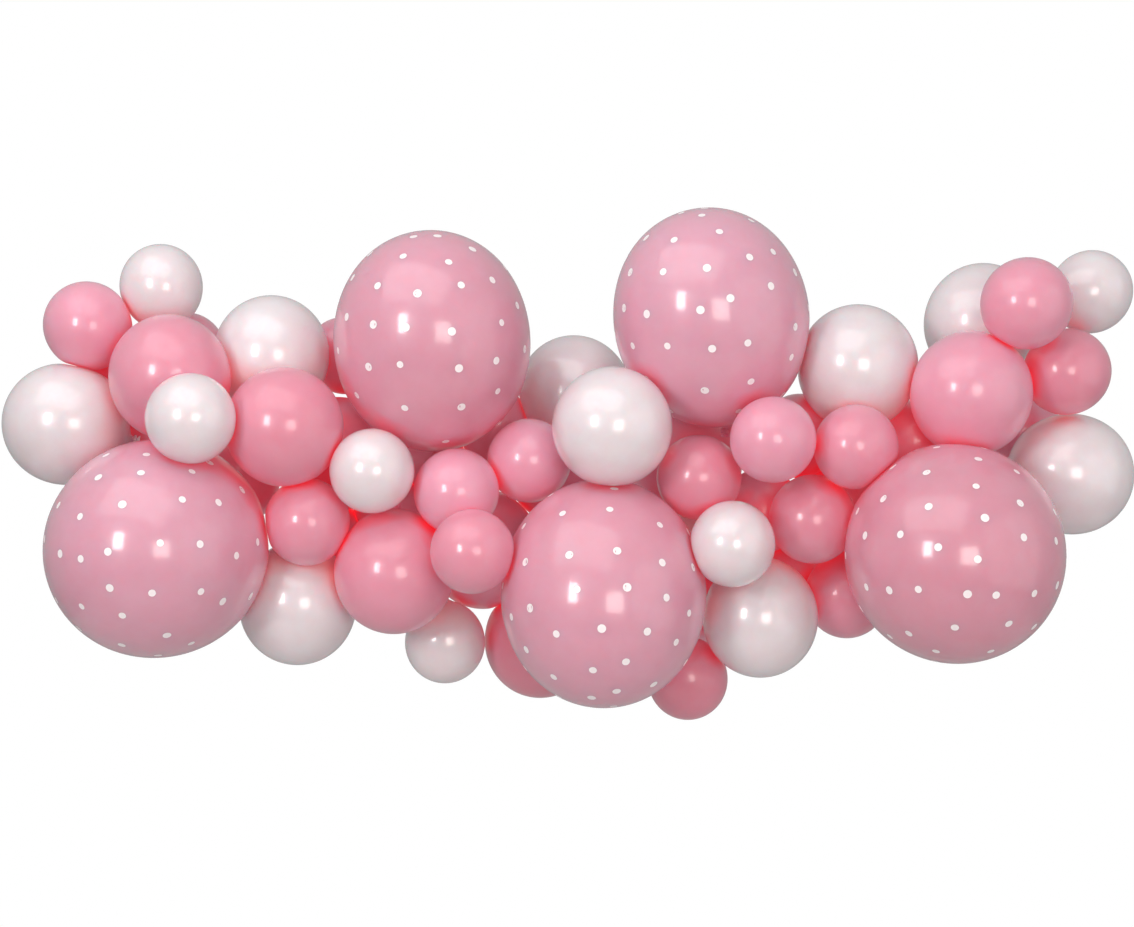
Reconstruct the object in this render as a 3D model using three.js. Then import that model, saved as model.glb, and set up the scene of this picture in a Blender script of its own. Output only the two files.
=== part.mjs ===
// A balloon garland: air-filled latex balloons of three sizes, packed round one core line
// and hung flat against a wall. Millimetres, +Z up, the wall is the plane y = 0, and the
// front of the garland faces -Y. The origin is in the middle of the flat spot where the
// rearmost balloon of the top middle, the fourth medium pearl one, presses on the wall.

import * as THREE from 'three';

// ---- Driving dimensions ----------------------------------------------------------------

const MEDIUM_FROM = 150; // a balloon this far across or more is a medium one
const LARGE_FROM = 250; // and from here it is a large one

const SKIN_GAP = 0.3; // what two pressed skins keep between them

// A balloon is round at its crown and drawn out towards its neck. The stretch is how much
// longer it reaches at the neck than at the crown, as a share of its half width.
const STRETCH = { small: 0.1, medium: 0.14, large: 0.42 };
const STRETCH_POWER = 3; // how late along the skin the drawing out begins
const SHOULDER_DEG = 155; // where the skin turns into the neck, counted from the crown

const NECK_BASE = 2.5; // the neck's half width is this, and a little more on a wide balloon
const NECK_PER_WIDTH = 0.013;
const KNOT_TO_NECK = 1.5; // the tied knot is this much wider than the neck
const KNOT_LENGTH = 2; // and twice its own half width long

const RINGS = { small: 5, medium: 6, large: 8 }; // from the crown to the shoulder
const SEGMENTS = { small: 9, medium: 12, large: 18 }; // round the axis

// The necks meet at the core, a level line inside the garland.
const CORE = { left: -560, right: 520, out: 120, z: -95 };

// A neck turns away from the core, in steps, to find a gap between its neighbours. Each
// fault of a direction costs as much as turning this many degrees.
const TURN_STEP_DEG = 8;
const TURN_STEPS = 15;
const TURN_WAYS = 16;
const NECK_ROOM = 4; // free space wanted beside a neck
const COST_OF_CROWDING = 12; // for each millimetre short of that space
const COST_OF_SHOWING = 90; // for a neck that points straight at the viewer

const NECK_ROOT = { along: 0.94, width: 2 }; // where a neck begins, in reaches and neck widths
const KNOT_APART = 1.5; // two knots keep this many knot widths to each other

// The balloons are pushed towards the wall or away from it until they squeeze each other by
// no more than a small share of the distance between their middles.
const SETTLE_ROUNDS = 160;
const SETTLE_SHARE = 0.12; // of what is missing, in each round
const SQUEEZED_TO = 0.96;
const FLATTEST_SLOPE = 0.3; // two balloons side by side are pushed as if they lay this askew
const LONGEST_PUSH = 30;
const FURTHEST_OUT = 335; // for the middle of a balloon

// The plane between two balloons is found by tilting it, less and less.
const PARTING_TILT_DEG = 24;
const PARTING_LAST_TILT_DEG = 1;
const PARTING_WAYS = 12;

// ---- The balloons ----------------------------------------------------------------------
// x and z place the middle of a balloon, out is how far it stands from the wall, and
// across is its width. Each list runs from left to right. The large ones are drawn out so
// much that the way their neck points shows, so it is given.

const DOTTED = [
  { x: -608, out: 275, z: -234, across: 309, neck: [0.3, 0.93, 0.25] },
  { x: -207, out: 210, z: 95, across: 281, neck: [0.05, 0.3, -0.95] },
  { x: 42, out: 270, z: -319, across: 289, neck: [0, 0.45, 0.9] },
  { x: 194, out: 235, z: 127, across: 278, neck: [0.15, 0.3, -0.95] },
  { x: 542, out: 325, z: -242, across: 305, neck: [-0.1, 0.98, 0.2] },
];

const PEARL = [
  { x: -750, out: 145, z: -50, across: 178 },
  { x: -610, out: 115, z: 155, across: 122 },
  { x: -540, out: 315, z: -45, across: 128 },
  { x: -445, out: 120, z: 55, across: 170 },
  { x: -405, out: 145, z: -320, across: 172 },
  { x: -288, out: 280, z: -120, across: 121 },
  { x: -190, out: 120, z: -375, across: 118 },
  { x: 0, out: 66, z: 0, across: 168 },
  { x: 54, out: 315, z: -56, across: 170 },
  { x: 169, out: 120, z: -224, across: 115 },
  { x: 224, out: 315, z: -224, across: 121 },
  { x: 270, out: 205, z: -337, across: 167 },
  { x: 412, out: 170, z: 36, across: 175 },
  { x: 605, out: 110, z: 105, across: 168 },
  { x: 730, out: 155, z: -125, across: 176 },
  { x: 755, out: 180, z: 143, across: 119 },
];

const PINK = [
  { x: -715, out: 145, z: 95, across: 128 },
  { x: -690, out: 50, z: 35, across: 110 },
  { x: -635, out: 65, z: -75, across: 118 },
  { x: -585, out: 185, z: 20, across: 176 },
  { x: -580, out: 50, z: 60, across: 116 },
  { x: -500, out: 60, z: -140, across: 118 },
  { x: -415, out: 235, z: -55, across: 170 },
  { x: -385, out: 225, z: -195, across: 124 },
  { x: -363, out: 55, z: -226, across: 118 },
  { x: -350, out: 75, z: -95, across: 170 },
  { x: -345, out: 50, z: 55, across: 112 },
  { x: -260, out: 205, z: -270, across: 174 },
  { x: -272, out: 55, z: -185, across: 118 },
  { x: -220, out: 55, z: -90, across: 114 },
  { x: -169, out: 245, z: -150, across: 123 },
  { x: -144, out: 320, z: -234, across: 119 },
  { x: -135, out: 80, z: -242, across: 170 },
  { x: -120, out: 55, z: -50, across: 114 },
  { x: -65, out: 195, z: -105, across: 122 },
  { x: -32, out: 56, z: -130, across: 128 },
  { x: -50, out: 70, z: -377, across: 166 },
  { x: 167, out: 150, z: -427, across: 117 },
  { x: 162, out: 73, z: -95, across: 174 },
  { x: 180, out: 240, z: -130, across: 122 },
  { x: 205, out: 55, z: -320, across: 116 },
  { x: 278, out: 125, z: -181, across: 121 },
  { x: 281, out: 320, z: -75, across: 122 },
  { x: 315, out: 80, z: -270, across: 116 },
  { x: 332, out: 120, z: -65, across: 119 },
  { x: 344, out: 220, z: -191, across: 126 },
  { x: 402, out: 235, z: -85, across: 121 },
  { x: 400, out: 155, z: -305, across: 122 },
  { x: 410, out: 75, z: -170, across: 166 },
  { x: 500, out: 125, z: -75, across: 120 },
  { x: 570, out: 235, z: -5, across: 176 },
  { x: 645, out: 250, z: 120, across: 130 },
  { x: 672, out: 55, z: -62, across: 118 },
  { x: 715, out: 215, z: 25, across: 124 },
];

// ---- Materials -------------------------------------------------------------------------

const dottedLatex = new THREE.MeshStandardMaterial({ color: 0xd98fa6, roughness: 0.3, metalness: 0 });
const pearlLatex = new THREE.MeshStandardMaterial({ color: 0xece2e3, roughness: 0.28, metalness: 0 });
const pinkLatex = new THREE.MeshStandardMaterial({ color: 0xe98ba3, roughness: 0.3, metalness: 0 });

// ---- One balloon's shape ---------------------------------------------------------------

function sizeClass(across) {
  if (across >= LARGE_FROM) return 'large';
  if (across >= MEDIUM_FROM) return 'medium';
  return 'small';
}

// How far the skin is from the middle of the balloon, at an angle counted from the crown.
function reach(balloon, angle) {
  const turned = (1 - Math.cos(angle)) / 2;
  return balloon.radius * (1 + balloon.stretch * turned ** STRETCH_POWER);
}

// The same in any direction, from the way the neck points.
function reachTowards(balloon, direction, axis = balloon.axis) {
  const towardsNeck = THREE.MathUtils.clamp(direction.dot(axis), -1, 1);
  return reach(balloon, Math.acos(-towardsNeck));
}

// The outline to spin about the axis: crown, rings down to the shoulder, neck and knot.
const shoulder = THREE.MathUtils.degToRad(SHOULDER_DEG);

function outline(balloon) {
  const points = [new THREE.Vector2(0, -reach(balloon, 0))];
  for (let ring = 1; ring <= balloon.rings; ring += 1) {
    const angle = (shoulder * ring) / balloon.rings;
    const distance = reach(balloon, angle);
    points.push(new THREE.Vector2(distance * Math.sin(angle), -distance * Math.cos(angle)));
  }
  const neckEnd = reach(balloon, Math.PI);
  points.push(new THREE.Vector2(balloon.neck, neckEnd));
  points.push(new THREE.Vector2(balloon.knot, neckEnd + balloon.knot * KNOT_LENGTH * 0.5));
  points.push(new THREE.Vector2(0, neckEnd + balloon.knot * KNOT_LENGTH));
  return points;
}

function describe({ x, out, z, across, neck }) {
  const size = sizeClass(across);
  const middle = new THREE.Vector3(x, -out, z);
  const neckRadius = NECK_BASE + NECK_PER_WIDTH * across;
  return {
    size,
    middle,
    radius: across / 2 / (1 + STRETCH[size] * 0.5 ** STRETCH_POWER),
    stretch: STRETCH[size],
    rings: RINGS[size],
    segments: SEGMENTS[size],
    neck: neckRadius,
    knot: neckRadius * KNOT_TO_NECK,
    aim: neck ? new THREE.Vector3(...neck).normalize() : towardsCore(middle),
  };
}

// ---- How far each balloon stands from the wall -----------------------------------------

// How much two balloons would have to be pushed apart, towards the wall and away from it,
// to squeeze each other no more than they should.
function pushApart(one, other) {
  const direction = other.middle.clone().sub(one.middle);
  const apart = direction.length();
  direction.divideScalar(apart);
  const backwards = direction.clone().negate();
  const skins = reachTowards(one, direction, one.aim) + reachTowards(other, backwards, other.aim);
  const missing = skins * SQUEEZED_TO - apart;
  if (missing <= 0) return 0;
  const slope = Math.max(Math.abs(direction.y), FLATTEST_SLOPE);
  return Math.min(missing / slope, LONGEST_PUSH) * Math.sign(direction.y);
}

// A balloon that starts out pressed on the wall is held there. The others slide, and the
// smaller of two slides further.
function settle(balloons) {
  const held = new Set(balloons.filter((balloon) => -balloon.middle.y < balloon.radius));
  for (let round = 0; round < SETTLE_ROUNDS; round += 1) {
    balloons.forEach((one, index) => {
      for (const other of balloons.slice(index + 1)) {
        const push = pushApart(one, other) * SETTLE_SHARE;
        const widths = one.radius + other.radius;
        if (!held.has(one)) one.middle.y -= (push * other.radius) / widths;
        if (!held.has(other)) other.middle.y += (push * one.radius) / widths;
      }
    });
    for (const balloon of balloons) {
      if (!held.has(balloon)) {
        balloon.middle.y = THREE.MathUtils.clamp(balloon.middle.y, -FURTHEST_OUT, -balloon.radius);
      }
    }
  }
}

// ---- Which way a neck points -----------------------------------------------------------

function towardsCore(middle) {
  const x = THREE.MathUtils.clamp(middle.x, CORE.left, CORE.right);
  return new THREE.Vector3(x, -CORE.out, CORE.z).sub(middle).normalize();
}

// The free space round a neck that points this way: at its root, its end and the knot.
function neckRoom(balloon, axis, others) {
  const end = reach(balloon, Math.PI);
  const places = [
    { along: end * NECK_ROOT.along, radius: balloon.neck * NECK_ROOT.width },
    { along: end, radius: balloon.neck },
    { along: end + balloon.knot, radius: balloon.knot },
    { along: end + balloon.knot * KNOT_LENGTH, radius: balloon.neck },
  ];
  let room = Infinity;
  for (const { along, radius } of places) {
    const place = axis.clone().multiplyScalar(along).add(balloon.middle);
    room = Math.min(room, -place.y - radius);
    for (const other of others) {
      const away = place.clone().sub(other.middle);
      const apart = away.length();
      const skin = other.axis ? reachTowards(other, away.divideScalar(apart)) : other.radius;
      room = Math.min(room, apart - skin - radius);
      if (other.axis) {
        const knotsApart = knotPlace(other).distanceTo(place);
        room = Math.min(room, knotsApart - other.knot * KNOT_APART - radius);
      }
    }
  }
  return room;
}

function knotPlace(balloon) {
  const along = reach(balloon, Math.PI) + balloon.knot;
  return balloon.axis.clone().multiplyScalar(along).add(balloon.middle);
}

// The neck points at the core, or as near to it as a gap between the neighbours allows.
function neckAxis(balloon, balloons) {
  const others = balloons.filter((other) => other !== balloon);
  const sideways = new THREE.Vector3(0, 0, 1).cross(balloon.aim).normalize();
  let best = balloon.aim;
  let bestCost = Infinity;
  for (let step = 0; step <= TURN_STEPS; step += 1) {
    const turn = step * TURN_STEP_DEG;
    const tilted = balloon.aim.clone().applyAxisAngle(sideways, THREE.MathUtils.degToRad(turn));
    for (let way = 0; way < TURN_WAYS; way += 1) {
      const axis = tilted.clone().applyAxisAngle(balloon.aim, (2 * Math.PI * way) / TURN_WAYS);
      const crowding = Math.max(0, NECK_ROOM - neckRoom(balloon, axis, others));
      const showing = Math.max(0, -axis.y);
      const cost = turn + crowding * COST_OF_CROWDING + showing * COST_OF_SHOWING;
      if (cost < bestCost) {
        best = axis;
        bestCost = cost;
      }
    }
  }
  return best;
}

// ---- How balloons press on each other and on the wall ----------------------------------

// How far a balloon, neck and knot included, reaches in a direction.
function extent(balloon, direction) {
  const along = direction.dot(balloon.axis);
  const aside = Math.sqrt(Math.max(0, 1 - along * along));
  return Math.max(...balloon.outline.map((point) => point.y * along + point.x * aside));
}

function spaceBetween(one, other, direction) {
  const apart = other.middle.clone().sub(one.middle).dot(direction);
  return apart - extent(one, direction) - extent(other, direction.clone().negate());
}

// The direction in which two balloons are furthest clear of each other, or least squeezed.
function partingDirection(one, other) {
  let best = other.middle.clone().sub(one.middle).normalize();
  let bestSpace = spaceBetween(one, other, best);
  for (let tilt = PARTING_TILT_DEG; tilt >= PARTING_LAST_TILT_DEG; tilt /= 2) {
    const start = best;
    const sideways = new THREE.Vector3(start.y, start.z, start.x).cross(start).normalize();
    const tilted = start.clone().applyAxisAngle(sideways, THREE.MathUtils.degToRad(tilt));
    for (let way = 0; way < PARTING_WAYS; way += 1) {
      const direction = tilted.clone().applyAxisAngle(start, (2 * Math.PI * way) / PARTING_WAYS);
      const space = spaceBetween(one, other, direction);
      if (space > bestSpace) {
        best = direction;
        bestSpace = space;
      }
    }
  }
  return best;
}

// Each of two balloons stays on its own side of one plane between them. A squeeze is shared
// so that the smaller balloon gives way more.
function part(one, other) {
  const direction = partingDirection(one, other);
  const space = spaceBetween(one, other, direction);
  const oneShare = other.radius / (one.radius + other.radius);
  const oneExtent = extent(one, direction);
  const apart = other.middle.clone().sub(one.middle).dot(direction);
  const distance = oneExtent + space * oneShare;
  one.sides.push({ direction, distance: distance - SKIN_GAP / 2 });
  other.sides.push({ direction: direction.clone().negate(), distance: apart - distance - SKIN_GAP / 2 });
}

// Every point of the skin is drawn in towards the middle until it is behind all the flat
// sides, so a pressed balloon is flattened where it meets a neighbour or the wall.
function pressed(geometry, balloon, rotation) {
  const position = geometry.getAttribute('position');
  const point = new THREE.Vector3();
  for (let index = 0; index < position.count; index += 1) {
    point.fromBufferAttribute(position, index);
    const turned = point.clone().applyQuaternion(rotation);
    let kept = 1;
    for (const side of balloon.sides) {
      const towards = turned.dot(side.direction);
      if (towards > side.distance) kept = Math.min(kept, side.distance / towards);
    }
    point.multiplyScalar(kept);
    position.setXYZ(index, point.x, point.y, point.z);
  }
  geometry.computeVertexNormals();
  return geometry;
}

function balloonMesh(name, balloon, material) {
  const rotation = new THREE.Quaternion().setFromUnitVectors(new THREE.Vector3(0, 1, 0), balloon.axis);
  const round = new THREE.LatheGeometry(balloon.outline, balloon.segments);
  const mesh = new THREE.Mesh(pressed(round, balloon, rotation), material);
  mesh.name = name;
  mesh.position.copy(balloon.middle);
  mesh.quaternion.copy(rotation);
  return mesh;
}

// ---- The garland -----------------------------------------------------------------------

const kinds = [
  { word: 'dotted', list: DOTTED.map(describe), material: dottedLatex },
  { word: 'pearl', list: PEARL.map(describe), material: pearlLatex },
  { word: 'pink', list: PINK.map(describe), material: pinkLatex },
];
const balloons = kinds.flatMap((kind) => kind.list);
settle(balloons);
for (const balloon of balloons) {
  balloon.axis = neckAxis(balloon, balloons);
  balloon.outline = outline(balloon);
  balloon.sides = [{ direction: new THREE.Vector3(0, 1, 0), distance: -balloon.middle.y }];
}
balloons.forEach((one, index) => {
  balloons.slice(index + 1).forEach((other) => part(one, other));
});

const garland = new THREE.Group();
for (const { word, list, material } of kinds) {
  const counts = { small: 0, medium: 0, large: 0 };
  for (const balloon of list) {
    counts[balloon.size] += 1;
    const name = `${word}_${balloon.size}_${counts[balloon.size]}`;
    garland.add(balloonMesh(name, balloon, material));
  }
}

export default garland;
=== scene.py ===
# %% [markdown]
# # A balloon garland, balloon by balloon
#
# A garland of this kind is a heap of tied latex balloons that hangs flat on a wall. The
# imported model that this script starts from holds one coarse, faceted solid for each
# balloon. Here each one becomes a smooth skin with a neck, a knot and a rolled lip, pressed
# flat where it meets its neighbours, and gets its latex.
#
# The first cell loads the model as a fixed frame, in metres, and keeps its outer box.

# %% Load the frame
import math

import bpy
import numpy as np
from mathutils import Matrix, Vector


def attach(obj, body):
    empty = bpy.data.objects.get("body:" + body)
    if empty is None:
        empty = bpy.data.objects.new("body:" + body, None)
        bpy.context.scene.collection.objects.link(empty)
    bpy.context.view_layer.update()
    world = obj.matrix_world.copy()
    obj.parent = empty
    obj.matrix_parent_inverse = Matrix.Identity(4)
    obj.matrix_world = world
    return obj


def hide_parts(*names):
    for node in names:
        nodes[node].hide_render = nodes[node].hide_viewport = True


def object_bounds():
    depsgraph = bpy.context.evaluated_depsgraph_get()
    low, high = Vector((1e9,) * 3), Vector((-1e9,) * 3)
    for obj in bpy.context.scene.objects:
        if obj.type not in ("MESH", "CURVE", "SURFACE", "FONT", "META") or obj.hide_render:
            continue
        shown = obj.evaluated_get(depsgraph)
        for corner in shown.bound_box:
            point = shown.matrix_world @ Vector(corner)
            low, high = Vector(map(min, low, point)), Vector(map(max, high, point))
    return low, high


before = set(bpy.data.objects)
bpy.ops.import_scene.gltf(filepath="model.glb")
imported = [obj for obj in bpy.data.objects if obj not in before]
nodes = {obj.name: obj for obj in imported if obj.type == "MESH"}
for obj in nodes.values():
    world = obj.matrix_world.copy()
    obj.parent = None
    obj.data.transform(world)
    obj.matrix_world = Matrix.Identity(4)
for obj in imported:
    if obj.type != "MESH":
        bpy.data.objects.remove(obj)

cad_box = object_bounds()
print(f"{len(nodes)} balloons in the frame")

# %% [markdown]
# ## What a balloon's shape follows
#
# A toy balloon isn't a sphere. Round its crown it is, but towards the neck the skin is
# drawn out. Seen from the balloon's middle, the skin's distance grows with the angle from
# the crown, slowly at first and fast near the neck. The bigger the balloon, the more it is
# filled and the more it is drawn out. One formula with one number for each size does it,
# which is the same rule that the solids were made by.

# %% The rule, and the three sizes
STRETCH = {"small": 0.10, "medium": 0.14, "large": 0.42}
STRETCH_POWER = 3
SHOULDER = math.radians(155)
RINGS_IN_SOLID = {"small": 5, "medium": 6, "large": 8}
NECK_BASE = 0.0025
NECK_PER_WIDTH = 0.013
SKIN_GAP = 0.0003


def reach(angle, radius, stretch):
    """How far the skin is from the middle, at an angle counted from the crown."""
    return radius * (1 + stretch * ((1 - np.cos(angle)) / 2) ** STRETCH_POWER)


at_neck = float(reach(math.pi, 1.0, STRETCH["large"]))
print(f"a large balloon reaches {at_neck:.2f} radii at its neck")

# %% [markdown]
# ## Reading a balloon back from its solid
#
# The solid of a balloon is a loose heap of triangles. Once equal corners are merged, its
# edges tell the rest. One end is the tip of the knot, with a small ring close round it, and
# the other is the crown. The line between them is the axis. Walking along the edges from
# the crown, the first ring met lies at one known angle, the second at the next, so each
# corner tells how far up the axis the middle is. That stays true on a pressed balloon,
# because pressing moved each corner straight towards the middle.

# %% Read middle, axis and size
def merged(mesh):
    """A mesh's corners with equal ones merged, and its triangles."""
    count = len(mesh.vertices)
    places = np.empty(count * 3)
    mesh.vertices.foreach_get("co", places)
    places = places.reshape(count, 3)
    _, first, alias = np.unique(np.round(places, 6), axis=0, return_index=True, return_inverse=True)
    corners = np.array([[alias.ravel()[v] for v in face.vertices] for face in mesh.polygons])
    return places[first], corners


def neighbours_of(count, triangles):
    near = [set() for _ in range(count)]
    for triangle in triangles:
        for a in triangle:
            near[a].update(int(b) for b in triangle if b != a)
    return near


def ring_numbers(near, start):
    """How many edges each corner is from the start."""
    steps = {start: 0}
    edge = [start]
    while edge:
        following = []
        for a in edge:
            for b in near[a]:
                if b not in steps:
                    steps[b] = steps[a] + 1
                    following.append(b)
        edge = following
    return steps


def read_balloon(name):
    """A balloon's middle, axis and size, worked out from its solid."""
    places, triangles = merged(nodes[name].data)
    near = neighbours_of(len(places), triangles)

    def spoke(corner):
        return np.mean([np.linalg.norm(places[b] - places[corner]) for b in near[corner]])

    busiest = max(len(n) for n in near)
    poles = [a for a in range(len(places)) if len(near[a]) == busiest]
    tip = min(poles, key=spoke)
    crown = max(poles, key=spoke)
    axis = (places[tip] - places[crown]) / np.linalg.norm(places[tip] - places[crown])
    size = name.split("_")[1]
    rings = RINGS_IN_SOLID[size]
    middles, radii = [], []
    for a, ring in ring_numbers(near, crown).items():
        if 0 < ring <= rings:
            angle = SHOULDER * ring / rings
            offset = places[a] - places[crown]
            along = offset @ axis
            aside = np.linalg.norm(offset - along * axis)
            middles.append(along + aside / math.tan(angle))
            radii.append(aside / math.sin(angle) / reach(angle, 1.0, STRETCH[size]))
    middle = places[crown] + axis * np.median(middles)
    radius = max(radii)
    across = 2 * radius * (1 + STRETCH[size] / 2**STRETCH_POWER)
    return {
        "name": name,
        "size": size,
        "kind": name.split("_")[0],
        "middle": middle,
        "axis": axis,
        "radius": radius,
        "stretch": STRETCH[size],
        "neck": NECK_BASE + NECK_PER_WIDTH * across,
    }


balloons = [read_balloon(name) for name in sorted(nodes)]
for size in STRETCH:
    widths = [2000 * b["radius"] for b in balloons if b["size"] == size]
    print(f"{len(widths)} {size} balloons, {min(widths):.0f} to {max(widths):.0f} mm across the crown")

# %% [markdown]
# ## Where balloons press on each other
#
# Two balloons that touch share a flat patch, like two soap bubbles. A plane between each
# pair, turned until the two are squeezed least, says where it lies. The smaller balloon has
# the softer push and gives way more. The wall behind the garland is one more such plane.

# %% Find the plane between each pair
TILTS = [24, 12, 6, 3, 1.5]
WAYS = 12
OUTLINE_STEPS = 36
KNOT_WIDE = 1.5
KNOT_LONG = 3.0
REACH_OF_A_PUSH = 1.6


def support_outline(b):
    """The balloon's outline as points (out from the axis, along it), knot and all."""
    angle = np.linspace(0, math.pi, OUTLINE_STEPS)
    distance = reach(angle, b["radius"], b["stretch"])
    skin = np.column_stack([distance * np.sin(angle), -distance * np.cos(angle)])
    end = reach(math.pi, b["radius"], b["stretch"])
    knot_out = b["neck"] * KNOT_WIDE
    knot = [[knot_out, end + knot_out], [knot_out, end + b["neck"] * KNOT_LONG]]
    return np.vstack([skin, knot])


def extent(b, directions):
    """How far the balloon goes in each of some directions."""
    along = directions @ b["axis"]
    aside = np.sqrt(np.maximum(0, 1 - along**2))
    out, up = b["outline"].T
    return (along[:, None] * up + aside[:, None] * out).max(1)


def space_between(one, other, directions):
    """The room between two balloons in each direction, less than nothing where they press."""
    apart = directions @ (other["middle"] - one["middle"])
    return apart - extent(one, directions) - extent(other, -directions)


def turned(vector, axis, angles):
    """The vector turned about an axis by each of some angles."""
    cos, sin = np.cos(angles)[:, None], np.sin(angles)[:, None]
    return vector * cos + np.cross(axis, vector) * sin + axis * (axis @ vector) * (1 - cos)


def parting_direction(one, other):
    """The way from one balloon to the other that leaves most room between them."""
    line = other["middle"] - one["middle"]
    best = line / np.linalg.norm(line)
    room = space_between(one, other, best[None])[0]
    for tilt in TILTS:
        side = np.cross(best[[1, 2, 0]], best)
        leaned = turned(best, side / np.linalg.norm(side), np.array([math.radians(tilt)]))[0]
        tries = turned(leaned, best, np.arange(WAYS) * 2 * math.pi / WAYS)
        rooms = space_between(one, other, tries)
        if rooms.max() > room:
            room, best = rooms.max(), tries[rooms.argmax()]
    return best, room


for b in balloons:
    b["outline"] = support_outline(b)
    b["sides"] = [(np.array([0.0, 1.0, 0.0]), -b["middle"][1])]

pressed_pairs = 0
for index, one in enumerate(balloons):
    for other in balloons[index + 1 :]:
        line = other["middle"] - one["middle"]
        radii = one["radius"] + other["radius"]
        if np.linalg.norm(line) > radii * REACH_OF_A_PUSH:
            continue
        direction, room = parting_direction(one, other)
        distance = extent(one, direction[None])[0] + room * other["radius"] / radii
        one["sides"].append((direction, distance - SKIN_GAP / 2))
        other["sides"].append((-direction, direction @ line - distance - SKIN_GAP / 2))
        pressed_pairs += room < 0
print(f"{pressed_pairs} pairs of balloons press on each other")

# %% [markdown]
# ## The skin
#
# A balloon is spun like a pot on a wheel: an outline turned about the axis. Here it is a
# grid of points, rings by segments, in numpy, because each point is then pressed in, and
# that is one formula on the whole grid. The limit that the flat sides set and the free skin
# meet in a soft minimum and not a hard one, so the edge of a patch is rolled over by a few
# millimetres, as on a real balloon.
#
# The neck is gathered, so it has folds that twist a little on their way to the knot. The
# knot is a bulge that leans to one side, and past it the skin opens into the rolled lip
# that every toy balloon has. The lip ends in a shallow cup, so the skin is one closed body.

# %% Outline of neck, knot and lip
# Out from the axis and along it, in neck radii, from where the round skin ends.
NECK_OUTLINE = [
    (2.1, 0.06), (1.5, 0.28), (1.12, 0.7), (0.98, 1.05), (1.14, 1.22), (1.52, 1.5), (1.6, 1.8),
    (1.36, 2.1), (0.94, 2.26), (0.96, 2.44), (1.2, 2.72), (1.46, 2.98), (1.62, 3.08),
    (1.66, 3.2), (1.54, 3.28), (1.4, 3.2), (1.1, 2.98), (0.7, 2.84), (0.3, 2.8),
]
NECK_STARTS = 3.0
KNOT_AT = 1.75
KNOT_SPREAD = 0.45
CUP_DEPTH = 0.02
FOLDS = 7
FOLD_DEPTH = 0.09
FOLD_TWIST = 0.8
KNOT_LEAN = 0.32
RINGS = {"small": 50, "medium": 58, "large": 84}
SEGMENTS = {"small": 72, "medium": 86, "large": 120}
CREASE = 0.022


def rounded(points, steps):
    """A smooth line through the points, with some steps between each two."""
    points = np.array(points)
    padded = np.vstack([2 * points[0] - points[1], points, 2 * points[-1] - points[-2]])
    line = []
    for a, b, c, d in zip(padded, padded[1:], padded[2:], padded[3:]):
        for t in np.arange(steps) / steps:
            bend = (2 * a - 5 * b + 4 * c - d) * t**2
            sway = (3 * b - a - 3 * c + d) * t**3
            line.append(0.5 * (2 * b + (c - a) * t + bend + sway))
    return np.array(line + [points[-1]])


def profile(b):
    """Each ring's distance out, distance along, angle from the crown and share of fold."""
    neck, end = b["neck"], float(reach(math.pi, b["radius"], b["stretch"]))
    last = math.pi - math.asin(NECK_STARTS * neck / end)
    angle = np.linspace(0, last, RINGS[b["size"]] + 1)[1:]
    distance = reach(angle, b["radius"], b["stretch"])
    skin = np.column_stack([distance * np.sin(angle), -distance * np.cos(angle)])
    tail = rounded([skin[-1]] + [(out * neck, end + up * neck) for out, up in NECK_OUTLINE], 2)[1:]
    rings = np.vstack([skin, tail])
    folded = np.clip((rings[:, 1] - skin[-1, 1]) / neck, 0, 1) * np.clip(rings[:, 0] / neck, 0, 1)
    knotted = np.exp(-(((rings[:, 1] - end) / neck - KNOT_AT) / KNOT_SPREAD) ** 2)
    return rings, folded, knotted


def across_axis(axis):
    """Two directions square to the axis and to each other."""
    helper = np.array([0.0, 0.0, 1.0]) if abs(axis[2]) < 0.9 else np.array([1.0, 0.0, 0.0])
    side = np.cross(axis, helper)
    side /= np.linalg.norm(side)
    return side, np.cross(axis, side)


def pressed(points, b):
    """The points, drawn in towards the middle until they are behind every flat side."""
    distance = np.linalg.norm(points, axis=1)
    ways = points / distance[:, None]
    soft = CREASE * b["radius"]
    rise = np.zeros(len(points))
    for direction, limit in b["sides"]:
        towards = np.maximum(ways @ direction, 1e-6)
        rise += np.exp(np.clip((distance - limit / towards) / soft, -60, 60))
    kept = distance - soft * np.log1p(rise)
    return ways * np.minimum(kept, distance)[:, None]


def skin_points(b):
    """Every corner of the skin, ring by ring, as seen from the middle: crown first, cup last."""
    rings, folded, knotted = profile(b)
    turn = np.arange(SEGMENTS[b["size"]]) * 2 * math.pi / SEGMENTS[b["size"]]
    out, along = rings[:, :1], rings[:, 1:]
    twist = FOLD_TWIST * (along - rings[0, 1]) / b["neck"]
    fold = 1 + FOLD_DEPTH * folded[:, None] * np.cos(FOLDS * turn + twist)
    along = along + KNOT_LEAN * b["neck"] * knotted[:, None] * np.cos(turn)
    side, other_side = across_axis(b["axis"])
    folded_out = out * fold
    spun = (folded_out * np.cos(turn))[..., None] * side
    spun = spun + (folded_out * np.sin(turn))[..., None] * other_side
    grid = spun + along[..., None] * b["axis"]
    crown = -b["axis"] * b["radius"]
    cup = b["axis"] * (rings[-1, 1] - CUP_DEPTH * b["neck"])
    return np.vstack([crown, grid.reshape(-1, 3), cup]), len(rings)


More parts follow.
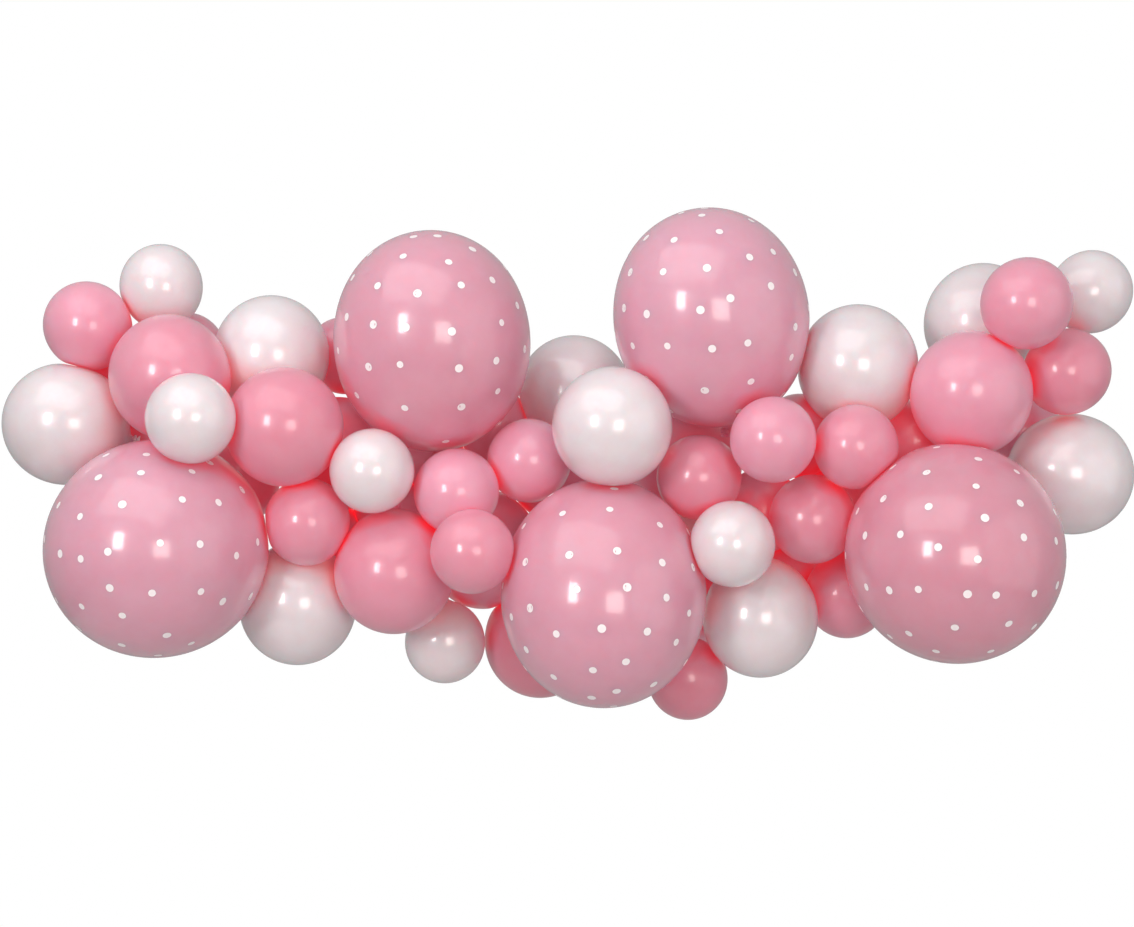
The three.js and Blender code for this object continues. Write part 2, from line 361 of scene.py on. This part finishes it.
def skin_faces(rings, segments):
    """Faces that point inwards, from the crown's fan to the cup's."""
    here = np.arange(segments)
    following = (here + 1) % segments
    starts = 1 + segments * np.arange(rings - 1)[:, None]
    ends = starts + segments
    quads = [starts + here, ends + here, ends + following, starts + following]
    quads = np.stack(quads, axis=-1)
    last = 1 + segments * (rings - 1)
    crown = [(0, 1 + a, 1 + b) for a, b in zip(here, following)]
    cup = [(last + a, last + segments, last + b) for a, b in zip(here, following)]
    return crown + quads.reshape(-1, 4).tolist() + cup


# %% [markdown]
# ## What the skin knows about itself
#
# Latex isn't one colour all over. It is palest at the crown, where it is stretched most,
# and deepest round the neck. Light also goes through it: deep between the balloons, light
# has passed through several skins before it comes out, and each takes the green and the
# blue away, so the gaps glow red. That glow is painted light here: the materials paint it
# into the colour and the emission, more the more shut in a point is. To tell how shut in a
# point is, it looks out along an even set of directions and counts what share of them other
# balloons block. The renderer could trace all that light instead, but it would need many
# bounces. The script writes the result into the mesh, as one number for each corner, and
# the materials read it. A few balloons, chosen by name, are made paler or deeper than the
# rest.

# %% Numbers for the materials to read
LOOKS = 72  # directions that each point looks out along
LOOKS_FAR = 0.14  # metres of free space past which another balloon no longer counts
EDGE_SOFTNESS = 0.4  # share of a balloon's width over which it goes from open to blocked


def even_directions(count):
    """Directions spread evenly over a ball, along a spiral."""
    height = 1 - (2 * np.arange(count) + 1) / count
    turn = np.arange(count) * math.pi * (3 - math.sqrt(5))
    out = np.sqrt(1 - height**2)
    return np.column_stack([out * np.cos(turn), out * np.sin(turn), height]).astype(np.float32)


def enclosure(b, points):
    """How much of what each point of the skin looks out on is other balloons: from 0 to 1."""
    ways = points - b["middle"]
    ways = (ways / np.linalg.norm(ways, axis=1)[:, None]).astype(np.float32)
    looks = even_directions(LOOKS)
    weight = np.maximum(ways @ looks.T, 0)
    open_share = np.ones_like(weight)
    for other in balloons:
        room = np.linalg.norm(other["middle"] - b["middle"]) - other["radius"] - b["radius"]
        if other is b or room > LOOKS_FAR:
            continue
        line = (other["middle"] - points).astype(np.float32)
        ahead = line @ looks.T
        miss = (line**2).sum(1)[:, None] - ahead**2
        cover = np.clip((other["radius"] ** 2 - miss) / (EDGE_SOFTNESS * other["radius"] ** 2), 0, 1)
        open_share *= 1 - cover * (ahead > 0)
    return 1 - (weight * open_share).sum(1) / weight.sum(1)


def from_crown(b, points):
    """0 at the crown and 1 at the neck."""
    offset = points - b["middle"]
    towards_neck = offset @ b["axis"] / np.linalg.norm(offset, axis=1)
    return np.arccos(np.clip(-towards_neck, -1, 1)) / math.pi


def write_numbers(mesh, name, values):
    attribute = mesh.attributes.new(name, "FLOAT", "POINT")
    attribute.data.foreach_set("value", np.asarray(values, dtype=np.float32))


def skin_mesh(b, tint):
    local, rings = skin_points(b)
    points = pressed(local, b) + b["middle"]
    mesh = bpy.data.meshes.new(b["name"])
    mesh.from_pydata(points.tolist(), [], skin_faces(rings, SEGMENTS[b["size"]]))
    mesh.polygons.foreach_set("use_smooth", np.ones(len(mesh.polygons), dtype=bool))
    write_numbers(mesh, "from_crown", from_crown(b, points))
    # How shut in each corner is; the materials paint the red glow of the gaps by it.
    write_numbers(mesh, "enclosure", enclosure(b, points))
    write_numbers(mesh, "tint", np.full(len(points), tint))
    mesh.update()
    return mesh


PALER_BALLOONS = {f"pink_small_{place}" for place in (1, 11, 14, 20, 27)} | {"pink_medium_9"}
DEEPER_BALLOONS = {"pink_small_16", "pink_medium_6", "dotted_large_5"}
PALER_BY = 0.85
DEEPER_BY = 0.8
TINT_SPREAD = 0.6

draw = np.random.default_rng(7)


def tint_of(name):
    """How deep this balloon's colour is: about 0.5, less for a paler balloon."""
    change = DEEPER_BY * (name in DEEPER_BALLOONS) - PALER_BY * (name in PALER_BALLOONS)
    return 0.5 + TINT_SPREAD * (draw.random() - 0.5) + change


skins = {b["name"]: skin_mesh(b, tint_of(b["name"])) for b in balloons}
print(sum(len(mesh.polygons) for mesh in skins.values()), "faces of skin")

# %% [markdown]
# ## Node trees as arithmetic
#
# A material that varies is a sum of small steps, and a node for each is tiring to wire by
# hand. This small class wraps one output socket. Adding or multiplying two of them makes
# the Math node that does it, and `make` adds any other node: its settings first, because
# they decide which sockets there are, and then a value or a link for each input.

# %% One class for sockets
MIX_INPUTS = {"factor": 0, "a": 6, "b": 7}
MIX_RESULT = 2


class Wire:
    """An output socket that arithmetic works on."""

    def __init__(self, tree, socket=None):
        self.tree = tree
        self.socket = socket

    def make(self, kind, settings=None, inputs=None, out=0):
        node = self.tree.nodes.new(kind)
        for name, value in (settings or {}).items():
            setattr(node, name, value)
        for key, value in (inputs or {}).items():
            if isinstance(value, Wire):
                self.tree.links.new(value.socket, node.inputs[key])
            else:
                node.inputs[key].default_value = value
        return Wire(self.tree, node.outputs[out] if len(node.outputs) else None)

    def maths(self, operation, *values):
        return self.make("ShaderNodeMath", {"operation": operation}, dict(enumerate(values)))

    def __add__(self, other):
        return self.maths("ADD", self, other)

    def __sub__(self, other):
        return self.maths("SUBTRACT", self, other)

    def __rsub__(self, other):
        return self.maths("SUBTRACT", other, self)

    def __mul__(self, other):
        return self.maths("MULTIPLY", self, other)

    def __truediv__(self, other):
        return self.maths("DIVIDE", self, other)

    def __pow__(self, other):
        return self.maths("POWER", self, other)

    def __lt__(self, other):
        return self.maths("LESS_THAN", self, other)

    __radd__ = __add__
    __rmul__ = __mul__


def blended(tree, factor, a, b, how="MIX"):
    """Colour a going over to colour b, or a and b joined another way."""
    settings = {"data_type": "RGBA", "blend_type": how, "clamp_factor": True}
    inputs = {MIX_INPUTS["factor"]: factor, MIX_INPUTS["a"]: a, MIX_INPUTS["b"]: b}
    return tree.make("ShaderNodeMix", settings, inputs, MIX_RESULT)


def written_number(tree, name):
    """One of the numbers written into the mesh."""
    return tree.make("ShaderNodeAttribute", {"attribute_name": name}, out="Fac")


def new_material(name):
    material = bpy.data.materials.new(name)
    material.use_nodes = True
    material.node_tree.nodes.clear()
    return material, Wire(material.node_tree)


print("sockets can be added and multiplied")

# %% [markdown]
# ## Latex
#
# All the latex here is one recipe with three sets of colours. The base colour starts from
# the crown's and goes over to the neck's, and is mottled faintly, since rubber never takes
# its dye quite evenly. Where other balloons shut it in, it turns to the glow's colour, a
# painted glow: the red of light passed between the balloons and through their skins, put
# into the base colour. Under the surface, red light travels furthest, which the subsurface
# part of the shader does. The light that would come through the skins from behind isn't
# traced: a faint emission, painted light, stands in for it, and grows with how shut in the
# skin is. A thin clear coat gives the sharp reflection of the lamps, over a softer one from
# the skin itself. It fades in the gaps.

# %% The latex recipe
# The glow's colour and the emission are painted light: the red glow of the gaps, put into the surface.
GLOW_FROM = 0.48  # how shut in the skin is where the glow's colour begins
GLOW_FULL = 0.86  # and where it is complete
GLOW_CURVE = 1.6  # how late the emission rises
GLOW_COVER = 0.85  # share of the base colour that the glow's colour takes over
RED_SHARE = 0.9  # share of the emission that is the colour of light from behind
MOTTLE = 0.14
RED_KEEPS = 0.75  # a deeper tint takes less from the red than from green and blue
TRAVEL = (1.0, 0.2, 0.26)  # how far red, green and blue go under the skin


def tinted(tree, colour, shade):
    """The colour multiplied by a shade, with less of it on the red."""
    shades = {"Red": shade * (1 - RED_KEEPS) + RED_KEEPS, "Green": shade, "Blue": shade}
    return blended(tree, 1.0, colour, tree.make("ShaderNodeCombineColor", inputs=shades), "MULTIPLY")


def latex(name, crown, neck, glow, through, let_through, roughness, depth, coat, metal, variety):
    """Latex from its colours: crown, neck, shut in, and the light that comes through."""
    material, tree = new_material(name)
    place = tree.make("ShaderNodeTexCoord", out="Object")
    along = written_number(tree, "from_crown")
    enclosed = written_number(tree, "enclosure")
    tint = written_number(tree, "tint")
    patches = {"Vector": place, "Scale": 38.0, "Detail": 3.0, "Roughness": 0.55}
    mottle = tree.make("ShaderNodeTexNoise", inputs=patches)
    grain = tree.make("ShaderNodeTexNoise", inputs={"Vector": place, "Scale": 900.0, "Detail": 2.0})

    skin = blended(tree, along**3, (*crown, 1), (*neck, 1))
    skin = tinted(tree, skin, 1 - variety * (tint - 0.5) * 2 - (mottle - 0.5) * MOTTLE)
    span = {"Value": enclosed, "From Min": GLOW_FROM, "From Max": GLOW_FULL}
    shut_in = tree.make("ShaderNodeMapRange", {"clamp": True}, span)
    # Painted glow: where other balloons shut the skin in, the base colour turns to the red of light
    # passed between them.
    skin = blended(tree, shut_in * GLOW_COVER, skin, (*glow, 1))
    # Painted light: the emission stands in for the light that comes through the skins from behind.
    passed_on = blended(tree, shut_in * RED_SHARE, skin, (*through, 1))
    shine = blended(tree, enclosed**GLOW_CURVE * let_through, (0.0, 0.0, 0.0, 1), passed_on)
    relief = {"Height": mottle + grain * 0.04, "Strength": 0.05, "Distance": 0.002}
    surface = tree.make(
        "ShaderNodeBsdfPrincipled",
        inputs={
            "Base Color": skin,
            "Roughness": roughness + (mottle - 0.5) * 0.1 + along**4 * 0.12,
            "Metallic": metal,
            "Subsurface Weight": depth,
            "Subsurface Radius": TRAVEL,
            "Subsurface Scale": 0.03,
            "Coat Weight": coat * (1 - shut_in * 0.8),
            "Coat Roughness": 0.12,
            "Coat IOR": 1.5,
            "Emission Color": shine,
            "Emission Strength": 1.0,
            "IOR": 1.5,
            "Normal": tree.make("ShaderNodeBump", inputs=relief),
        },
    )
    tree.make("ShaderNodeOutputMaterial", inputs={"Surface": surface})
    return material


# glow and through are painted light: the colours that the glow of the gaps puts into base colour and
# emission.
LATEX = {
    "dotted": latex(
        "mauve pink latex",
        crown=(0.68, 0.345, 0.445),
        neck=(0.70, 0.28, 0.37),
        glow=(0.86, 0.07, 0.12),
        through=(1.0, 0.09, 0.13),
        let_through=0.22,
        roughness=0.34,
        depth=0.9,
        coat=0.9,
        metal=0.0,
        variety=0.11,
    ),
    "pink": latex(
        "pink latex",
        crown=(0.71, 0.29, 0.38),
        neck=(0.71, 0.21, 0.29),
        glow=(0.88, 0.03, 0.06),
        through=(1.0, 0.025, 0.045),
        let_through=0.31,
        roughness=0.34,
        depth=0.9,
        coat=0.6,
        metal=0.0,
        variety=0.11,
    ),
    "pearl": latex(
        "pearl white latex",
        crown=(0.75, 0.695, 0.72),
        neck=(0.74, 0.67, 0.69),
        glow=(0.86, 0.50, 0.53),
        through=(1.0, 0.45, 0.47),
        let_through=0.11,
        roughness=0.30,
        depth=0.7,
        coat=0.9,
        metal=0.05,
        variety=0.02,
    ),
}
print(", ".join(m.name for m in LATEX.values()))

# %% [markdown]
# ## Ink
#
# The dots are screen-printed before the balloon is blown up, so the ink stretches with the
# skin and thins in the middle of each dot, where a little of the pink comes through.

# %% White printing ink
def ink():
    material, tree = new_material("white printed ink")
    place = tree.make("ShaderNodeTexCoord", out="Object")
    rim = written_number(tree, "from_dot_middle")
    speckle = tree.make("ShaderNodeTexNoise", inputs={"Vector": place, "Scale": 700.0, "Detail": 3.0})
    thin = (1 - rim**2) * 0.2 + (speckle - 0.5) * 0.2
    colour = blended(tree, thin, (0.93, 0.88, 0.89, 1), (0.84, 0.62, 0.68, 1))
    surface = tree.make(
        "ShaderNodeBsdfPrincipled",
        inputs={
            "Base Color": colour,
            "Roughness": 0.42 + speckle * 0.12,
            "Coat Weight": 0.15,
            "Coat Roughness": 0.15,
        },
    )
    tree.make("ShaderNodeOutputMaterial", inputs={"Surface": surface})
    return material


INK = ink()
print(INK.name)

# %% [markdown]
# ## Printed dots by Geometry Nodes
#
# The dots sit in rings round the balloon's axis, evenly spaced, with a little of the drift
# that printing on rubber has. A rule like that is what Geometry Nodes are for: points are
# counted out ring by ring, a ray from the middle carries each to the skin, and a thin disc
# of ink is put there, then bent to the skin. It could be a pattern in the material, but
# discs stay crisp at any distance.

# %% The tree that prints the dots
DOT_INPUTS = [
    ("Middle", "NodeSocketVector"),
    ("Towards the crown", "NodeSocketVector"),
    ("Rings", "NodeSocketInt"),
    ("Dots round the middle", "NodeSocketInt"),
    ("Dot radius", "NodeSocketFloat"),
    ("Ink height", "NodeSocketFloat"),
    ("Drift", "NodeSocketFloat"),
    ("Seed", "NodeSocketInt"),
    ("Ink", "NodeSocketMaterial"),
]
SUNK_SHARE = 0.35
DISC_SIDES = 16
SIZE_SPREAD = 0.24
FEWEST_IN_RING = 3.0


def kept_on_points(tree, geometry, name, value, kind="FLOAT"):
    """The geometry with one more value stored on its points."""
    settings = {"data_type": kind, "domain": "POINT"}
    inputs = {"Geometry": geometry, "Name": name, "Value": value}
    return tree.make("GeometryNodeStoreNamedAttribute", settings, inputs)


def stored(tree, name, kind="FLOAT"):
    return tree.make("GeometryNodeInputNamedAttribute", {"data_type": kind}, {"Name": name})


def rotation_to(tree, direction):
    """The rotation that turns the Z axis to a direction."""
    return tree.make("FunctionNodeAlignRotationToVector", {"axis": "Z"}, {"Vector": direction})


def vector_maths(tree, operation, inputs, out="Vector"):
    return tree.make("ShaderNodeVectorMath", {"operation": operation}, inputs, out)


def dot_tree():
    group = bpy.data.node_groups.new("printed dots", "GeometryNodeTree")
    group.interface.new_socket("Skin", in_out="INPUT", socket_type="NodeSocketGeometry")
    for name, kind in DOT_INPUTS:
        group.interface.new_socket(name, in_out="INPUT", socket_type=kind)
    group.interface.new_socket("Printed skin", in_out="OUTPUT", socket_type="NodeSocketGeometry")
    tree = Wire(group)
    source = group.nodes.new("NodeGroupInput")
    given = {socket.name: Wire(group, socket) for socket in source.outputs if socket.name}

    # Count the points out: a ring number and a place in the ring for each.
    most = given["Dots round the middle"]
    points = tree.make("GeometryNodePoints", inputs={"Count": given["Rings"] * most})
    index = tree.make("GeometryNodeInputIndex")
    ring = tree.maths("FLOOR", index / most)
    slot = index - ring * most
    drawn = {}
    for offset, what in enumerate(("tilt", "turn", "size", "phase")):
        drawn[what] = tree.make(
            "FunctionNodeRandomValue",
            {"data_type": "FLOAT"},
            {
                2: 0.0,
                3: 1.0,
                "ID": ring if what == "phase" else index,
                "Seed": given["Seed"] * 4 + offset,
            },
            out=1,
        )
    level = (ring + 0.5) / given["Rings"] * math.pi
    in_ring = tree.maths("ROUND", most * tree.maths("SINE", level))
    in_ring = tree.maths("MAXIMUM", in_ring, FEWEST_IN_RING)
    lean = level + (drawn["tilt"] - 0.5) * given["Drift"] / given["Rings"] * math.pi
    drift = (drawn["turn"] - 0.5) * given["Drift"] / in_ring
    turn = (slot / in_ring + drawn["phase"] + drift) * 2 * math.pi

    # Carry each point to the skin, along a ray from the middle.
    flat = tree.maths("SINE", lean)
    way = tree.make(
        "ShaderNodeCombineXYZ",
        inputs={
            "X": flat * tree.maths("COSINE", turn),
            "Y": flat * tree.maths("SINE", turn),
            "Z": tree.maths("COSINE", lean),
        },
    )
    to_crown = rotation_to(tree, given["Towards the crown"])
    way = tree.make("FunctionNodeRotateVector", inputs={"Vector": way, "Rotation": to_crown})
    cast = tree.make(
        "GeometryNodeRaycast",
        {"data_type": "FLOAT"},
        {
            "Target Geometry": given["Skin"],
            "Source Position": given["Middle"],
            "Ray Direction": way,
            "Ray Length": 1.0,
        },
        out="Hit Position",
    )
    outward = Wire(group, cast.socket.node.outputs["Hit Normal"])
    placed = tree.make("GeometryNodeSetPosition", inputs={"Geometry": points, "Position": cast})

    # One disc of ink, which knows its own height and how far each corner is from its middle.
    disc = tree.make(
        "GeometryNodeMeshCone",
        {"fill_type": "TRIANGLE_FAN"},
        {
            "Vertices": DISC_SIDES,
            "Side Segments": 1,
            "Fill Segments": 1,
            "Radius Top": given["Dot radius"] * 0.9,
            "Radius Bottom": given["Dot radius"],
            "Depth": given["Ink height"],
        },
    )
    spot = tree.make("GeometryNodeInputPosition")
    height = tree.make("ShaderNodeSeparateXYZ", inputs={"Vector": spot}, out="Z")
    height = height - given["Ink height"] * SUNK_SHARE
    disc = kept_on_points(tree, disc, "height", height)
    flat_spot = vector_maths(tree, "MULTIPLY", {0: spot, 1: (1.0, 1.0, 0.0)})
    far = vector_maths(tree, "LENGTH", {0: flat_spot}, "Value") / given["Dot radius"]
    disc = kept_on_points(tree, disc, "from_dot_middle", far)

    # Each point keeps its rotation before the spare points go, since that renumbers them.
    stamped = kept_on_points(tree, placed, "upright", rotation_to(tree, outward), "QUATERNION")
    spare = {"Geometry": stamped, "Selection": 1 - (slot < in_ring)}
    stamped = tree.make("GeometryNodeDeleteGeometry", {"domain": "POINT"}, spare)
    dots = tree.make(
        "GeometryNodeInstanceOnPoints",
        inputs={
            "Points": stamped,
            "Instance": disc,
            "Rotation": stored(tree, "upright", "QUATERNION"),
            "Scale": drawn["size"] * SIZE_SPREAD + (1 - SIZE_SPREAD / 2),
        },
    )

    # Bend the discs to the skin, and ink them.
    dots = tree.make("GeometryNodeRealizeInstances", inputs={"Geometry": dots})
    nearest = tree.make("GeometryNodeProximity", {"target_element": "FACES"}, {0: given["Skin"]})
    facing = tree.make(
        "GeometryNodeSampleNearestSurface",
        {"data_type": "FLOAT_VECTOR"},
        {"Mesh": given["Skin"], "Value": tree.make("GeometryNodeInputNormal")},
    )
    lifted = vector_maths(tree, "SCALE", {0: facing, "Scale": stored(tree, "height")})
    bent = vector_maths(tree, "ADD", {0: nearest, 1: lifted})
    dots = tree.make("GeometryNodeSetPosition", inputs={"Geometry": dots, "Position": bent})
    dots = tree.make("GeometryNodeSetShadeSmooth", inputs={"Geometry": dots, "Shade Smooth": False})
    dots = tree.make("GeometryNodeSetMaterial", inputs={"Geometry": dots, "Material": given["Ink"]})
    joined = tree.make("GeometryNodeJoinGeometry")
    for part in (given["Skin"], dots):
        group.links.new(part.socket, joined.socket.node.inputs[0])
    target = group.nodes.new("NodeGroupOutput")
    group.links.new(joined.socket, target.inputs[0])
    return group


DOT_TREE = dot_tree()
print(len(DOT_TREE.nodes), "nodes print the dots")

# %% Print a balloon
DOT_RADIUS = 0.0056
INK_HEIGHT = 0.00018
DOT_RINGS = 8
DOTS_ROUND = 13
DRIFT = 0.34
FACES_PER_DOT = 3 * DISC_SIDES


def set_inputs(modifier, values):
    """Set a modifier's inputs by their sockets' own identifiers."""
    for item in modifier.node_group.interface.items_tree:
        if item.name in values and item.in_out == "INPUT":
            modifier[item.identifier] = values[item.name]


def printed(b, mesh, seed):
    """The skin's mesh with the dots printed on it."""
    holder = bpy.data.objects.new("being printed", mesh)
    bpy.context.scene.collection.objects.link(holder)
    modifier = holder.modifiers.new("dots", "NODES")
    modifier.node_group = DOT_TREE
    set_inputs(
        modifier,
        {
            "Middle": b["middle"].tolist(),
            "Towards the crown": (-b["axis"]).tolist(),
            "Rings": DOT_RINGS,
            "Dots round the middle": DOTS_ROUND,
            "Dot radius": DOT_RADIUS,
            "Ink height": INK_HEIGHT,
            "Drift": DRIFT,
            "Seed": seed,
            "Ink": INK,
        },
    )
    evaluated = holder.evaluated_get(bpy.context.evaluated_depsgraph_get())
    result = bpy.data.meshes.new_from_object(evaluated)
    holder.modifiers.remove(modifier)
    bpy.data.objects.remove(holder)
    return result


for b in balloons:
    skins[b["name"]].materials.append(LATEX[b["kind"]])
dotted = [b for b in balloons if b["kind"] == "dotted"]
for seed, b in enumerate(dotted, start=1):
    plain = skins[b["name"]]
    before = len(plain.polygons)
    skins[b["name"]] = printed(b, plain, seed)
    dots = (len(skins[b["name"]].polygons) - before) // FACES_PER_DOT
    print(b["name"], "got", dots, "dots")

# %% [markdown]
# ## Hang them up
#
# Each skin becomes an object that takes the place of its solid. Nothing on a garland moves
# by itself, so they all ride on the one body that there is.

# %% One object for each balloon
for b in balloons:
    balloon = bpy.data.objects.new(b["name"] + "_skin", skins[b["name"]])
    bpy.context.scene.collection.objects.link(balloon)
    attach(balloon, "root")
    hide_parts(b["name"])
print(len(balloons), "balloons hung")

# %% [markdown]
# ## Floor, light and camera
#
# A pale floor lies well below the garland. The light is a studio's: a tall softbox in front
# and to the left, a warm one close to the camera, a wide one above, a weak one at the right
# that opens the shadows, and a pale room that is brighter above than below. The room looks
# white to the camera, as a background does.

# %% Floor
FLOOR_DEPTH = 0.62
FLOOR_HALF = 1.7


def floor_material():
    material, tree = new_material("pale floor")
    place = tree.make("ShaderNodeTexCoord", out="Object")
    cloud = tree.make("ShaderNodeTexNoise", inputs={"Vector": place, "Scale": 3.0, "Detail": 2.0})
    colour = blended(tree, cloud, (0.63, 0.615, 0.615, 1), (0.67, 0.66, 0.66, 1))
    surface = tree.make("ShaderNodeBsdfPrincipled", inputs={"Base Color": colour, "Roughness": 0.8})
    tree.make("ShaderNodeOutputMaterial", inputs={"Surface": surface})
    return material


low, high = cad_box
floor_height = low.z - FLOOR_DEPTH
middle_x = (low.x + high.x) / 2
floor_mesh = bpy.data.meshes.new("floor")
left, right = middle_x - FLOOR_HALF, middle_x + FLOOR_HALF
around = [(left, -FLOOR_HALF), (right, -FLOOR_HALF), (right, FLOOR_HALF), (left, FLOOR_HALF)]
floor_mesh.from_pydata([(x, y, floor_height) for x, y in around], [], [(0, 1, 2, 3)])
floor_mesh.materials.append(floor_material())
floor = bpy.data.objects.new("floor", floor_mesh)
bpy.context.scene.collection.objects.link(floor)
print(f"floor at {floor_height:.2f} m")

# %% Room light
WHITE = (1.0, 1.0, 1.0, 1.0)
ROOM_COLOUR = (1.0, 0.97, 0.96, 1.0)


def room(bright_above, bright_below):
    """Light from all round, by height, and plain white for the camera to see."""
    world = bpy.data.worlds.new("room")
    world.use_nodes = True
    world.node_tree.nodes.clear()
    tree = Wire(world.node_tree)
    way = tree.make("ShaderNodeTexCoord", out="Generated")
    upward = tree.make("ShaderNodeSeparateXYZ", inputs={"Vector": way}, out="Z")
    lift = upward * 0.5 + 0.5
    strength = bright_below + lift * (bright_above - bright_below)
    light = tree.make("ShaderNodeBackground", inputs={"Color": ROOM_COLOUR, "Strength": strength})
    seen = tree.make("ShaderNodeBackground", inputs={"Color": WHITE, "Strength": 1.0})
    to_camera = tree.make("ShaderNodeLightPath", out="Is Camera Ray")
    mixed = tree.make("ShaderNodeMixShader", inputs={0: to_camera, 1: light, 2: seen})
    tree.make("ShaderNodeOutputWorld", inputs={"Surface": mixed})
    bpy.context.scene.world = world


room(0.60, 0.17)
bpy.context.scene.view_settings.view_transform = "Standard"
print("room lit")


# %% Lamps and camera
def aimed(obj, place, target):
    """Put an object somewhere, looking at a target."""
    obj.location = place
    way = Vector(target) - Vector(place)
    obj.rotation_euler = way.to_track_quat("-Z", "Y").to_euler()
    bpy.context.scene.collection.objects.link(obj)


def softbox(name, direction, distance, size, power, colour):
    """A rectangular lamp that looks at the garland from a direction."""
    lamp = bpy.data.lights.new(name, "AREA")
    lamp.shape = "RECTANGLE"
    lamp.size, lamp.size_y = size
    lamp.energy = power
    lamp.color = colour
    target = (low + high) / 2
    place = target + Vector(direction).normalized() * distance
    aimed(bpy.data.objects.new(name, lamp), place, target)


softbox("tall softbox", (-0.55, -0.82, 0.16), 3.4, (0.6, 0.95), 34, (1.0, 0.98, 0.97))
softbox("warm lamp", (0.22, -0.97, 0.03), 3.4, (1.1, 1.1), 26, (1.0, 0.92, 0.85))
softbox("side softbox", (0.86, -0.5, 0.05), 2.4, (2.4, 2.4), 12, (1.0, 0.98, 0.98))
softbox("top softbox", (-0.3, -0.55, 0.78), 2.1, (2.8, 1.6), 21, (1.0, 0.98, 0.98))

CAMERA_PLACE = (-0.010, -4.700, -0.109)
VIEW_WIDTH_AT = (1.6443, 4.5)
camera = bpy.data.cameras.new("camera")
camera.sensor_width = 36
camera.lens = 36 * VIEW_WIDTH_AT[1] / VIEW_WIDTH_AT[0]
viewer = bpy.data.objects.new("camera", camera)
aimed(viewer, CAMERA_PLACE, (CAMERA_PLACE[0], 0, CAMERA_PLACE[2]))
bpy.context.scene.camera = viewer
print(f"camera with a {camera.lens:.0f} mm lens")

# %% [markdown]
# ## The solids' box, and finish
#
# The smooth garland has to fill the same box as the solids did. The last line prints the
# solids' box.

# %% Print the solids' box and finish
print("solids", [round(v, 3) for corner in cad_box for v in corner])
